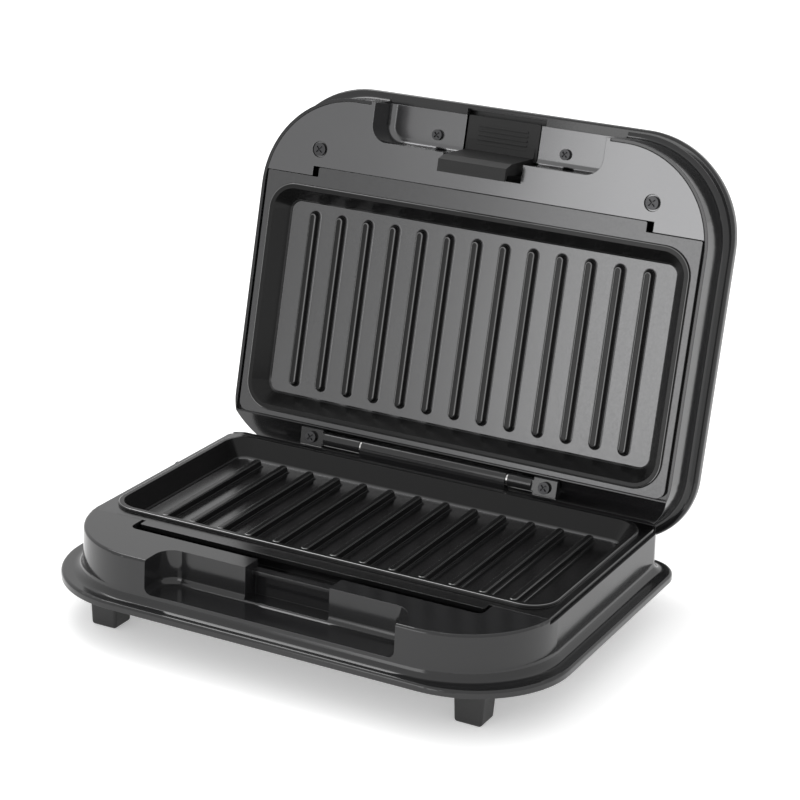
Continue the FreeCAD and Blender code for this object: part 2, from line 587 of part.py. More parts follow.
PANEL_SCREWS = [("-(body_width / 2 - panel_screw_side)", "-panel_screw_back"),
                ("body_width / 2 - panel_screw_side", "-panel_screw_back")]
POCKET_SCREWS = [("-pocket_screw_side", "-(pocket_back + pocket_screw_front)"),
                 ("pocket_screw_side", "-(pocket_back + pocket_screw_front)")]
PLATE_SCREWS = [(f"{sign}(tray_half - tray_screw_side)", along) for along in (
    "tray_front + tray_screw_front", "tray_rear - tray_screw_back") for sign in ("-", "")]
LENS_PLACES = [("-lens_side", "-lens_front"), ("lens_side", "-lens_front")]


def lid_front_panel():
    body = new_body("lid_front_panel_body")
    edge = "(lid_lip + seam)"
    slab(body, "face", f"-(lid_half - {edge})", f"lid_half - {edge}", f"-lid_front + {edge}", "plate_rear", "0",
         "plate_flange", f"lid_corner - {edge}", "0")
    notch(body, "plate_side", "-body_width", "body_width", "-seam", "plate_rear + 1", "0", "plate_flange")
    notch(body, "tab_notch", "-tab_width / 2 - 3.5", "tab_width / 2 + 3.5", "-tab_reach - seam", "1", "0",
          "plate_flange")
    outer = "pocket_width / 2 + wall / 2 - seam"
    slab(body, "pocket_walls", f"-({outer})", outer, "-lid_front + 0.2", "-pocket_back + wall", "0",
         "lid_pocket_depth + wall - 0.2", "0", "pocket_corner + wall")
    slab(body, "bay_walls", "-latch_bay / 2 - wall", "latch_bay / 2 + wall", "-pocket_back - wall",
         "-latch_bay_back + wall", "0", "lid_pocket_depth + wall - 0.2")
    half_pocket = "pocket_width / 2 - 1.5"
    notch(body, "pocket_hollow", f"-({half_pocket})", half_pocket, "-body_front - 9", "-pocket_back", "0",
          "lid_pocket_depth", "0", "pocket_corner")
    round_pocket_floor(body, "lid_pocket_depth", half_pocket)
    notch(body, "latch_bay_hollow", "-latch_bay / 2", "latch_bay / 2", "-pocket_back - 1", "-latch_bay_back",
          "0", "shell_depth + 5")
    notch(body, "grip_opening", "-grip_width / 2 - 0.8", "grip_width / 2 + 0.8", "-body_front - 9",
          "-pocket_back", "lid_pocket_depth - 1", "wall + 4")
    cross_bore(body, "latch_pin_bore", "-latch_axis_back", "latch_axis_depth", "pin_radius + 0.02",
               "-latch_bay / 2 - wall - 1", "latch_bay + 2 * wall + 2")
    for number, (across, along) in enumerate(PANEL_SCREWS):
        hole(body, f"screw_seat_{number}", across, along, "screw_head + 0.9", "0", "1.2")
        hole(body, f"screw_hole_{number}", across, along, "screw_radius + 0.2", "0", "wall + 2")
    for number, (across, along) in enumerate(POCKET_SCREWS):
        hole(body, f"floor_hole_{number}", across, along, "screw_radius + 0.2", "lid_pocket_depth - 1", "wall + 3")
    return keep(body, "lid_front_panel", "lid")


# -------------------------------------------------------------------------- grill plates

def grill_plate(label, side):
    """A die-cast plate: flange, sealing bead, sloping dish and thirteen rounded ribs."""
    body = new_body(label + "_body")
    half = "plate_width / 2"
    slab(body, "flange", f"-{half}", half, "0.1", "plate_rear", "0", "plate_flange", "0.8", "5")
    slab(body, "front_lip", "-tab_width / 2", "tab_width / 2", "-tab_reach", "2", "0", "plate_flange", "1", "0")
    bead = "bead_width / 2"
    sketch = new_sketch(body, "bead", "XY", "0")
    rectangle(sketch, f"-{bead}", bead, "bead_front", "bead_rear", "bead_corner", "bead_corner")
    pad(body, sketch, "bead_height", reverse=True)
    slab(body, "dish", f"-{bead}", bead, "bead_front", "bead_rear", "0.5",
         "dish_depth + plate_metal - 0.5", "bead_corner", "bead_corner", draft="-dish_slope")
    doc.recompute()
    before = body.Shape.BoundBox.ZMin
    top = value("bead_height")
    fillet(body, "1.0", lambda p: near(p.z, -top))
    inner = "bead_width / 2 - bead_band"
    notch(body, "dish_hollow", f"-({inner})", inner, "bead_front + bead_band", "bead_rear - bead_band",
          "-bead_height - 0.5", "dish_depth + bead_height + 0.5", "bead_corner - bead_band",
          "bead_corner - bead_band", draft="-dish_slope + 5")
    if not near(before, -top):
        raise RuntimeError("the sealing bead doesn't stand proud of the flange")
    doc.recompute()
    first = "-(rib_count - 1) / 2 * rib_pitch"
    sketch = new_sketch(body, "rib", "XY", "dish_depth + 0.5")
    rectangle(sketch, f"{first} - rib_width / 2", f"{first} + rib_width / 2", "rib_front", "rib_rear",
              "rib_width / 2 - 0.01", "rib_width / 2 - 0.01")
    rib = pad(body, sketch, "rib_height + 0.5", reverse=True, draft="-rib_draft")
    doc.recompute()
    pattern = body.newObject("PartDesign::LinearPattern", "ribs")
    pattern.Originals = [rib]
    pattern.Direction = (sketch, ["H_Axis"])
    bind(pattern, Length="(rib_count - 1) * rib_pitch", Occurrences="rib_count")
    body.Tip = pattern
    doc.recompute()
    crest = value("dish_depth - rib_height")
    fillet(body, "1.3", lambda p: near(p.z, crest) and p.y > value("rib_front") and p.y < value("rib_rear"))
    floor = value("dish_depth")
    fillet(body, "1.0", lambda p: near(p.z, floor) and value("rib_front") - 0.5 < p.y < value("rib_rear") + 0.5
           and abs(p.x) < value("(rib_count - 1) / 2 * rib_pitch + rib_width"))
    # bosses that the reflector screws to
    for number, (across, along) in enumerate(PLATE_SCREWS):
        post(body, f"boss_{number}", across, along, "3.6", "dish_depth + plate_metal / 2",
             "plate_metal / 2 + tray_depth - tray_metal")
        hole(body, f"pilot_{number}", across, along, "screw_radius - 0.2", "dish_under + 1",
             "tray_depth + 2")
    return keep(body, label, side)


def heating_element(label, side):
    """A bent tubular element under the dish, with its cold ends turned out at the rear."""
    depth = value("element_depth")
    reach, bend = value("element_half"), value("element_bend")
    front, rear = value("tray_front + element_front"), value("tray_rear - element_back")
    corner = bend * math.sqrt(0.5)
    points = [FreeCAD.Vector(-reach, rear, depth), FreeCAD.Vector(-reach, front + bend, depth),
              FreeCAD.Vector(-reach + bend, front, depth), FreeCAD.Vector(reach - bend, front, depth),
              FreeCAD.Vector(reach, front + bend, depth), FreeCAD.Vector(reach, rear, depth)]
    left_middle = FreeCAD.Vector(-reach + bend - corner, front + bend - corner, depth)
    right_middle = FreeCAD.Vector(reach - bend + corner, front + bend - corner, depth)
    path = Part.Wire([Part.LineSegment(points[0], points[1]).toShape(),
                      Part.Arc(points[1], left_middle, points[2]).toShape(),
                      Part.LineSegment(points[2], points[3]).toShape(),
                      Part.Arc(points[3], right_middle, points[4]).toShape(),
                      Part.LineSegment(points[4], points[5]).toShape()])
    ring = Part.Wire([Part.Circle(points[0], Y_AXIS, value("element_radius") - 0.02).toShape()])
    tube = path.makePipeShell([ring], True, True)
    terminals = []
    for end in (points[0], points[5]):
        terminals.append(Part.makeCylinder(value("element_radius") / 3, 6, end - Y_AXIS, Y_AXIS))
    item = doc.addObject("Part::Feature", label + "_body")
    item.Shape = tube.fuse(terminals).removeSplitter()
    return keep(item, label, side)


def reflector(label, side):
    """A shallow pressed tray that closes the element in under the dish."""
    body = new_body(label + "_body")
    top = "dish_under"
    slab(body, "tray", "-tray_half", "tray_half", "tray_front", "tray_rear", top, "tray_depth", "6", "6")
    inner = "tray_half - tray_metal"
    notch(body, "hollow", f"-({inner})", inner, "tray_front + tray_metal", "tray_rear - tray_metal", top,
          "tray_depth - tray_metal", "6 - tray_metal", "6 - tray_metal")
    for number, (across, along) in enumerate(PLATE_SCREWS):
        hole(body, f"screw_hole_{number}", across, along, "screw_radius + 0.2", top, "tray_depth + 1")
    for number, sign in enumerate(("-", "")):
        sketch = new_sketch(body, f"terminal_hole_{number}", "XZ", "-tray_rear - 1")
        circle(sketch, f"{sign}element_half", "element_depth", "element_radius / 3 + 0.4")
        pocket(body, sketch, "3")
    return keep(body, label, side)


# --------------------------------------------------------------------- small round pieces

def turned(name, steps, axis, place):
    """A stack of Part cylinders along one axis: each step is (radius, start, length)."""
    pieces = []
    rotation = FreeCAD.Rotation(Z_AXIS, axis)
    for number, (radius, start, length) in enumerate(steps):
        piece = doc.addObject("Part::Cylinder", f"{name}_step_{number}")
        bind(piece, Radius=radius, Height=length)
        piece.Placement = FreeCAD.Placement(place + axis * value(start), rotation)
        pieces.append(piece)
    if len(pieces) == 1:
        return pieces[0]
    joined = doc.addObject("Part::MultiFuse", name + "_joined")
    joined.Shapes = pieces
    return joined


def bored(name, solid, radius, start, length, axis, place):
    """Cut a round bore along an axis."""
    tool = turned(name + "_bore", [(radius, start, length)], axis, place)
    cut = doc.addObject("Part::Cut", name + "_bored")
    cut.Base = solid
    cut.Tool = tool
    return cut


def screw_group(label, side, places, direction, length, head="screw_head"):
    """Identical pan-head screws with a cross recess; each place is the underside of a head."""
    screws = []
    for number, place in enumerate(places):
        name = f"{label}_{number}"
        solid = turned(name, [(head, "-head_height", "head_height"), ("screw_radius - 0.25", "-0.5", f"{length} + 0.5")],
                       direction, place)
        for blade in range(2):
            slot = doc.addObject("Part::Box", f"{name}_slot_{blade}")
            bind(slot, Length=f"{head} * 1.3", Width="0.7", Height="1.2")
            spin = FreeCAD.Rotation(Z_AXIS, direction).multiply(FreeCAD.Rotation(Z_AXIS, 45 + 90 * blade))
            corner = spin.multVec(FreeCAD.Vector(-value(head) * 0.65, -0.35, 0))
            slot.Placement = FreeCAD.Placement(place - direction * 2.0 + corner, spin)
            cut = doc.addObject("Part::Cut", f"{name}_cut_{blade}")
            cut.Base = solid
            cut.Tool = slot
            solid = cut
        screws.append(solid)
    group = doc.addObject("Part::Compound", label + "_group")
    group.Links = screws
    return keep(group, label, side)


def at(across, along, depth):
    return FreeCAD.Vector(value(across), value(along), value(depth))


# ---------------------------------------------------------------------------------- hinge

def hinge_bracket(label, ear, barrel_end, toward):
    """A lid bracket: a barrel round the pin and an ear held by one screw."""
    body = new_body(label + "_body")
    depth = "hinge_depth"
    ear_start = f"{ear} - ear_length / 2"
    if toward > 0:
        start, length = ear, f"{barrel_end} - {ear}"
    else:
        start, length = barrel_end, f"{ear} - {barrel_end}"
    cross_rod(body, "ear", "hinge_back", depth, "ear_radius - 0.05", ear_start, "ear_length")
    cross_rod(body, "barrel", "hinge_back", depth, "barrel_radius", start, length)
    notch(body, "screw_flat", f"{ear_start} - 1", f"{ear} + ear_length / 2 + 1", "hinge_back - 8",
          "hinge_back + 8", f"{depth} - ear_radius - 2", "ear_radius - ear_flat + 2")
    if toward > 0:
        bore_start, bore_length = f"{ear} + ear_length / 2 + 1", f"{barrel_end} - {ear}"
    else:
        bore_start, bore_length = f"{barrel_end} - 1", f"{ear} - {barrel_end} - ear_length / 2"
    cross_bore(body, "pin_bore", "hinge_back", depth, "pin_radius + pin_fit", bore_start, bore_length)
    hole(body, "screw_hole", ear, "hinge_back", "screw_radius + 0.2", f"{depth} - ear_radius - 1", "ear_radius * 2 + 2")
    return keep(body, label, "lid")


def hinge_pieces():
    hinge_bracket("hinge_bracket_left", "left_ear", "knuckle_left - washer_thick - 0.2", 1)
    hinge_bracket("hinge_bracket_right", "right_ear", "knuckle_right + washer_thick + 0.2", -1)
    start = value("left_ear + ear_length / 2 + 1.4")
    end = value("right_ear - ear_length / 2 - 0.4")
    pin = turned("hinge_pin", [("pin_radius", "0", f"{end - start}")], X_AXIS, FreeCAD.Vector(
        start, value("hinge_back"), value("hinge_rise")))
    keep(pin, "hinge_pin", "middle")
    for label, along in (("hinge_washer_left", "knuckle_left - washer_thick - 0.1"),
                         ("hinge_washer_right", "knuckle_right + 0.1")):
        place = at(along, "hinge_back", "hinge_rise")
        disc = turned(label, [("barrel_radius - 0.5", "0", "washer_thick")], X_AXIS, place)
        keep(bored(label, disc, "pin_radius + pin_fit", "-1", "washer_thick + 2", X_AXIS, place), label, "middle")
    flat = "hinge_depth - ear_flat - 0.02"
    screw_group("hinge_bracket_screws", "lid", [at(ear, "hinge_back", flat) for ear in ("left_ear", "right_ear")],
                Z_AXIS, "15", "3.1")


# ---------------------------------------------------------------------------------- latch

def latch():
    """The latch lever: grip in the pocket, arm through the bay and a toothed tip."""
    body = new_body("latch_body")
    front, reach = "-arm_front", "-arm_reach"
    inner = "-arm_front + arm_thick"
    arm = new_sketch(body, "arm", "YZ", "-arm_width / 2")
    polygon(arm, [(front, reach), (f"{inner} + tooth_reach", reach),
                  (f"{inner} + tooth_reach", f"{reach} + tooth_thick * 0.6"), (inner, f"{reach} + tooth_thick"),
                  (inner, "latch_axis_depth + 1"), ("-latch_axis_back + latch_boss - 0.2", "grip_top + 1"),
                  ("-grip_front + 12", "grip_top + grip_thick"), ("-grip_front + 12", "grip_top"),
                  ("-arm_front - 5.6", "grip_top - 1"), (f"{front} - 2.4", "-6")])
    pad(body, arm, "arm_width")
    cross_rod(body, "boss", "-latch_axis_back", "latch_axis_depth", "latch_boss", "-arm_width / 2", "arm_width")
    slab(body, "grip", "-grip_width / 2", "grip_width / 2", "-grip_front", "-arm_front - 3.4", "grip_top",
         "grip_thick", "1", "0")
    cross_bore(body, "pin_bore", "-latch_axis_back", "latch_axis_depth", "pin_radius + pin_fit",
               "-grip_width", "grip_width * 2")
    notch(body, "spring_gap", "-5", "5", "-latch_axis_back - pin_radius - 1.4", "-latch_bay_back + 4",
          "latch_axis_depth - latch_boss - 1", "latch_boss * 2 + 6")
    sketch = new_sketch(body, "grip_rib", "XY", "grip_top")
    rectangle(sketch, "-14", "14", "-grip_front + 4.4", "-grip_front + 5.3")
    rib = pad(body, sketch, "0.5", reverse=True)
    doc.recompute()
    pattern = body.newObject("PartDesign::LinearPattern", "grip_ribs")
    pattern.Originals = [rib]
    pattern.Direction = (sketch, ["V_Axis"])
    bind(pattern, Length="grip_rib_step * (grip_rib_count - 1)", Occurrences="grip_rib_count")
    body.Tip = pattern
    doc.recompute()
    keep(body, "latch", "latch")


def latch_spring():
    """A torsion spring of close turns round the latch pin, with one leg resting on the arm."""
    middle = at("0", "-latch_axis_back", "latch_axis_depth")
    wire, turns, pitch = 0.35, 7, 0.85
    radius = value("pin_radius") + wire + 0.35
    helix = Part.makeHelix(pitch, pitch * turns, radius)
    profile = Part.Wire([Part.Circle(FreeCAD.Vector(radius, 0, 0), Y_AXIS, wire).toShape()])
    coil = Part.Wire(helix.Edges).makePipeShell([profile], True, True)
    coil.Placement = FreeCAD.Placement(middle - X_AXIS * (pitch * turns / 2), FreeCAD.Rotation(Z_AXIS, X_AXIS))
    item = doc.addObject("Part::Feature", "latch_spring_body")
    item.Shape = coil
    return keep(item, "latch_spring", "lid")


def latch_pieces():
    latch()
    place = at("-latch_bay / 2 - wall + 0.3", "-latch_axis_back", "latch_axis_depth")
    pin = turned("latch_pin", [("pin_radius", "0", "latch_bay + 2 * wall - 0.6")], X_AXIS, place)
    keep(pin, "latch_pin", "lid")
    latch_spring()


# ------------------------------------------------------------------------ covers and feet

def bottom_cover():
    body = new_body("bottom_cover_body")
    half = "body_width / 2 + rim_side - cover_inset"
    slab(body, "sheet", f"-({half})", half, "-body_front - rim_front + cover_inset",
         "body_rear + rim_rear - cover_inset", "shell_depth", "cover_thick", "rim_corner - cover_inset",
         "rear_corner + rim_rear - cover_inset")
    under = value("under_cover")
    fillet(body, "1.2", lambda p: near(p.z, under))
    # a raised rim inside the walls keeps the cover from sliding
    inner = "body_width / 2 - wall - seam"
    slab(body, "fence", f"-({inner})", inner, "-body_front + wall + seam", "body_rear - wall - seam",
         "shell_depth - 0.9", "1", "front_corner - wall - seam", "rear_corner - wall - seam")
    for name, across, along, radius in cover_bosses():
        hole(body, "clear" + name, across, along, f"{radius} + 0.5", "shell_depth - 2", "2")
        hole(body, "screw_hole" + name, across, along, "screw_radius + 0.2", "shell_depth - 1", "cover_thick + 2")
    for name, across, along in foot_places():
        hole(body, "foot_hole" + name, across, along, "screw_radius + 0.2", "shell_depth - 2", "cover_thick + 4")
    sketch = new_sketch(body, "vent", "XY", "shell_depth - 2")
    first = "-vent_step * (vent_count - 1) / 2"
    rectangle(sketch, f"{first} - vent_width / 2", f"{first} + vent_width / 2", "40", "90", "vent_width / 2 - 0.05",
              "vent_width / 2 - 0.05")
    cut = pocket(body, sketch, "cover_thick + 4")
    pattern = body.newObject("PartDesign::LinearPattern", "vents")
    pattern.Originals = [cut]
    pattern.Direction = (sketch, ["H_Axis"])
    bind(pattern, Length="vent_step * (vent_count - 1)", Occurrences="vent_count")
    body.Tip = pattern
    doc.recompute()
    return keep(body, "bottom_cover", "base")


def foot_places():
    return [("_front_right", "-foot_side", "-foot_front"), ("_front_left", "foot_side", "-foot_front"),
            ("_rear_right", "-foot_side", "foot_rear"), ("_rear_left", "foot_side", "foot_rear")]


def feet():
    for name, across, along in foot_places():
        body = new_body("foot" + name + "_body")
        half = "foot_width / 2"
        slab(body, "post", f"{across} - {half}", f"{across} + {half}", f"{along} - {half}", f"{along} + {half}",
             "under_cover", "foot_height", "2.6", "2.6", draft="-foot_draft")
        sole = value("under_cover + foot_height")
        fillet(body, "1.6", lambda p: near(p.z, sole))
        hole(body, "pilot", across, along, "screw_radius - 0.2", "under_cover", "11")
        keep(body, "foot" + name, "base")


def top_cover():
    """The lid's domed cover, with four long posts for the panel's screws."""
    body = new_body("lid_top_cover_body")
    half = "lid_half + lid_rim - dome_inset"
    front, rear = "-lid_front - lid_rim + dome_inset", "lid_rear + lid_rim - dome_inset"
    front_round, rear_round = "lid_corner + lid_rim_grow - dome_inset", "lid_rear_corner + lid_rim - dome_inset"
    slab(body, "dome", f"-({half})", half, front, rear, "shell_depth", "dome_height", front_round, rear_round)
    crest = value("shell_depth + dome_height")
    fillet(body, "dome_round", lambda p: near(p.z, crest))
    inset = "wall + 3.5"
    notch(body, "hollow_wide", f"-({half} - wall)", f"{half} - wall", f"{front} + wall", f"{rear} - wall",
          "shell_depth", "dome_height - dome_round + 1", f"{front_round} - wall", f"{rear_round} - wall")
    notch(body, "hollow_deep", f"-({half} - ({inset}))", f"{half} - ({inset})", f"{front} + {inset}",
          f"{rear} - ({inset})", "shell_depth", "dome_height - wall", f"{front_round} - ({inset})",
          f"{rear_round} - ({inset})")
    top = "shell_depth + dome_height - wall"
    for number, (across, along) in enumerate(PANEL_SCREWS):
        post(body, f"panel_post_{number}", across, along, "post_radius", "plate_flange + seam",
             f"{top} + 0.5 - plate_flange - seam")
        hole(body, f"panel_pilot_{number}", across, along, "screw_radius - 0.2", "plate_flange", "14")
    for number, (across, along) in enumerate(POCKET_SCREWS):
        post(body, f"pocket_post_{number}", across, along, "post_radius", "lid_pocket_depth + wall + 0.1",
             f"{top} + 0.4 - lid_pocket_depth - wall")
        hole(body, f"pocket_pilot_{number}", across, along, "screw_radius - 0.2", "lid_pocket_depth + wall", "9")
    for number, (across, along) in enumerate(LENS_PLACES):
        hole(body, f"lens_hole_{number}", across, along, "lens_radius + pin_fit", "shell_depth + 2", "dome_height + 2")
    return keep(body, "lid_top_cover", "lid")


def lenses():
    for label, (across, along) in zip(("power_lens", "ready_lens"), LENS_PLACES):
        place = at(across, along, "shell_depth + dome_height")
        steps = [("lens_radius", "-wall - 0.6", "wall + 1.2"), ("lens_radius + 1", "-wall - 1.6", "1.5")]
        keep(turned(label, steps, Z_AXIS, place), label, "lid")


def cord_gland():
    """The cord's gland in the left wall; its barrel points out of the side."""
    place = at("body_width / 2 + 0.1", "gland_back", "gland_depth")
    steps = [("gland_radius", "-wall - 3", "wall + 4"), ("gland_radius + 1", "0.4", "2.4"),
             ("gland_radius - 0.6", "2", "5")]
    solid = turned("cord_gland", steps, X_AXIS, place)
    keep(bored("cord_gland", solid, "gland_bore", "-10", "30", X_AXIS, place), "cord_gland", "base")


# ----------------------------------------------------------------------- inside the halves

def thermostat(label, side):
    """A bimetal disc thermostat held against the middle of the dish."""
    place = at("0", "(tray_front + tray_rear) / 2 + 1", "dish_under + 0.05")
    steps = [("thermostat_radius", "0", "thermostat_height"), ("thermostat_radius + 2", "1", "1")]
    solid = turned(label, steps, Z_AXIS, place)
    return keep(solid, label, side)


def thermal_fuse():
    place = at("-30", "tray_front + 36", "dish_under + 2.1")
    solid = turned("thermal_fuse", [("2", "0", "12"), ("0.5", "-6", "24")], X_AXIS, place)
    return keep(solid, "thermal_fuse", "base")


def terminal_block():
    """Three-way terminal block on the bottom cover, beside the gland."""
    body = new_body("terminal_block_body")
    slab(body, "block", "tray_half + 1.5", "tray_half + 9.5", "gland_back - 44", "gland_back - 12",
         "shell_depth - 9.9", "9")
    for way in range(3):
        hole(body, f"way_{way}", "tray_half + 5.5", f"gland_back - 38 + {way * 10}", "1.6", "shell_depth - 9.9", "6")
    return keep(body, "terminal_block", "base")


def plate_screws(label, side):
    depth = "dish_under + tray_depth + 0.02"
    places = [at(across, along, depth) for across, along in PLATE_SCREWS]
    return screw_group(label, side, places, Z_AXIS * -1, "6")


def screws():
    plate_screws("lower_plate_screws", "base")
    plate_screws("upper_plate_screws", "lid")
    under = "under_cover + 0.02"
    screw_group("bottom_cover_screws", "base", [at(across, along, under) for _, across, along, _ in cover_bosses()],
                Z_AXIS * -1, "9")
    inside = "shell_depth - 0.92"
    screw_group("foot_screws", "base", [at(across, along, inside) for _, across, along in foot_places()], Z_AXIS, "12")
    screw_group("lid_panel_screws", "lid", [at(across, along, "1.18") for across, along in PANEL_SCREWS], Z_AXIS, "12")
    screw_group("latch_pocket_screws", "lid", [at(across, along, "lid_pocket_depth - 0.02")
                                               for across, along in POCKET_SCREWS], Z_AXIS, "9", "2.8")


# ------------------------------------------------------------------------------- assembly

base_housing()
lid_housing()
lid_front_panel()
for half_name, half_side in (("lower", "base"), ("upper", "lid")):
    grill_plate(half_name + "_plate", half_side)
    heating_element(half_name + "_heating_element", half_side)
    reflector(half_name + "_reflector", half_side)
    thermostat(half_name + "_thermostat", half_side)
hinge_pieces()
latch_pieces()
bottom_cover()
feet()
top_cover()
lenses()
cord_gland()
thermal_fuse()
terminal_block()
screws()
doc.recompute()


def check_document():
    """Stop if any object failed or any sub-part has no sound shape."""
    for item in doc.Objects:
        if "Invalid" in item.State or "Error" in item.State:
            raise RuntimeError(f"{item.Label} failed: {item.State}")
    for label, (item, side) in sub_parts.items():
        if item.Shape.isNull() or not item.Shape.isValid() or not item.Shape.Solids:
            raise RuntimeError(f"{label} has no sound shape")


def place_parts():
    """Open the lid, turn the base's pieces over and stand the press on its feet."""
    ground = value("under_cover + foot_height")
    pivot = FreeCAD.Vector(0, value("hinge_back"), value("hinge_rise"))
    closed_lid = FreeCAD.Placement(FreeCAD.Vector(0, 0, value("closed_gap")), FreeCAD.Rotation())
    swing = FreeCAD.Placement(FreeCAD.Vector(0, 0, 0), FreeCAD.Rotation(X_AXIS, -value("open_angle")), pivot)
    half_turn = FreeCAD.Placement(FreeCAD.Vector(0, 0, 0), FreeCAD.Rotation(Y_AXIS, 180))
    places = {"base": half_turn, "lid": swing.multiply(closed_lid), "middle": FreeCAD.Placement()}
    places["latch"] = places["lid"]
    for item, side in sub_parts.values():
        item.Placement = places[side].multiply(item.Placement)
    doc.recompute()
    box = FreeCAD.BoundBox()
    for item, side in sub_parts.values():
        box.add(item.Shape.optimalBoundingBox(True))
    stand = FreeCAD.Placement(FreeCAD.Vector(-box.Center.x, -box.Center.y, ground), FreeCAD.Rotation())
    for item, side in sub_parts.values():
        item.Placement = stand.multiply(item.Placement)
    doc.recompute()
    axis = stand.multVec(pivot)
    latch_pin = stand.multiply(places["lid"]).multVec(at("0", "-latch_axis_back", "latch_axis_depth"))
    print("hinge axis", [round(number, 4) for number in axis])
    print("latch axis", [round(number, 4) for number in latch_pin])
    print("origin shift", [round(number, 4) for number in stand.Base])


check_document()
place_parts()
check_document()
os.makedirs("parts", exist_ok=True)
for label, (item, side) in sub_parts.items():
    item.Shape.exportStep(f"parts/{label}.step")
print(len(sub_parts), "sub-parts written")
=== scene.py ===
import json
import math

import bmesh
import bpy
from mathutils import Matrix, Vector


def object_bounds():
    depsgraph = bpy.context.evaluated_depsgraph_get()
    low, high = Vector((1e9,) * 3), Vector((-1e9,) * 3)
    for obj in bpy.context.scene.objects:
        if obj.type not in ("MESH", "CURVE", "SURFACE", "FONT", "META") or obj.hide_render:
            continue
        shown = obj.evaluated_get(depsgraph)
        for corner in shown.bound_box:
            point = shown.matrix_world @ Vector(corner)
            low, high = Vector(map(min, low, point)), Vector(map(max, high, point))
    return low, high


bl_info = {
    "name": "Panini Press Finish",
    "version": (1, 0, 0),
    "blender": (4, 5, 0),
    "location": "View3D > Sidebar > Panini Press",
    "description": "Finishes and studio for a two-plate panini press",
    "category": "Object",
}

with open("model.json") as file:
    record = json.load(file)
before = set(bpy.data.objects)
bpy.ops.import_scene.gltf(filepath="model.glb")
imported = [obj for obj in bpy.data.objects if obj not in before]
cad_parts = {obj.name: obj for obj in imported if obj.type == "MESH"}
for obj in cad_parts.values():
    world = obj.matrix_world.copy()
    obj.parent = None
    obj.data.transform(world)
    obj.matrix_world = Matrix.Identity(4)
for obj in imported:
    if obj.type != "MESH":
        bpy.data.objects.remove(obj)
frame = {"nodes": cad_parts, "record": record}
NODES = frame["nodes"]
RECORD = frame["record"]
CAD_LOW, CAD_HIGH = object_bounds()

# the mix node's colour sockets
MIX_UNDER, MIX_OVER, MIX_RESULT = 6, 7, 2
# the span that a noise texture mostly keeps to
NOISE_LOW, NOISE_HIGH = 0.3, 0.7
BEVEL_SAMPLES = 6
# rounding of small metal, ceramic and lens edges, in metres
SMALL_EDGE = 0.0002

# angle from the closed lid to the open one
LID_OPENING = math.radians(102.0)
# each plate: the way it faces, and how far its flange lies from the hinge's axis that way
PLATE_FACES = {
    "lower_plate": (Vector((0.0, 0.0, 1.0)), -0.0051),
    "upper_plate": (Vector((0.0, -math.sin(LID_OPENING), -math.cos(LID_OPENING))), 0.0011),
}
# heights about the flange where its finish starts, is full, fades and ends
FLANGE_RISE, FLANGE_FALL = (-0.0008, -0.0004), (0.0003, 0.0007)
# how far a surface leans to the plate's facing, one being square on
CREST_RISE, CREST_FALL = (0.70, 0.84), (0.92, 0.985)
FLANGE_LEAN = (0.96, 0.99)

SCREW_SHADE = (0.06, 0.06, 0.062)
SHEATH_SHADE = (0.30, 0.29, 0.27)
REFLECTOR_SHADE = (0.75, 0.75, 0.74)
CERAMIC_DARK, CERAMIC_LIGHT = (0.72, 0.70, 0.66), (0.82, 0.80, 0.76)
RED_LENS, GREEN_LENS = (0.42, 0.012, 0.008), (0.01, 0.30, 0.03)

FLOOR_DROP = 0.0002
CAMERA_TURN, CAMERA_RISE, CAMERA_ROLL = (math.radians(angle) for angle in (26.81, 19.37, 2.29))
CAMERA_FROM_HINGE = Vector((0.50815, -1.05615, 0.44643))
SENSOR_WIDTH = 36.0
KEY_PLACE, KEY_SIZE = (-0.9, 0.5, 1.6), (1.0, 0.7)
FILL_PLACE, FILL_SIZE = (-0.35, -1.32, 0.38), (0.42, 0.7)
FILL_TARGET = Vector((0.08, 0.09, 0.18))


# ------------------------------------------------------------------ places read from the frame

def joint_point(name):
    """A point on the joint's axis, in metres."""
    for joint in RECORD["behaviour"]["joints"]:
        if joint["name"] == name:
            return Vector(joint["pos_m"])
    raise RuntimeError(f"the frame has no joint {name}")


# ------------------------------------------------------------------ settings a user would change

def length(name, description, default, **extra):
    return bpy.props.FloatProperty(name=name, description=description, default=default,
                                   unit="LENGTH", precision=5, **extra)


def share(name, description, default, **extra):
    return bpy.props.FloatProperty(name=name, description=description, default=default,
                                   min=0.0, max=1.0, subtype="FACTOR", **extra)


def amount(name, description, default, **extra):
    return bpy.props.FloatProperty(name=name, description=description, default=default,
                                   min=0.0, **extra)


def colour(name, description, default):
    return bpy.props.FloatVectorProperty(name=name, description=description, default=default,
                                         size=3, min=0.0, max=1.0, subtype="COLOR")


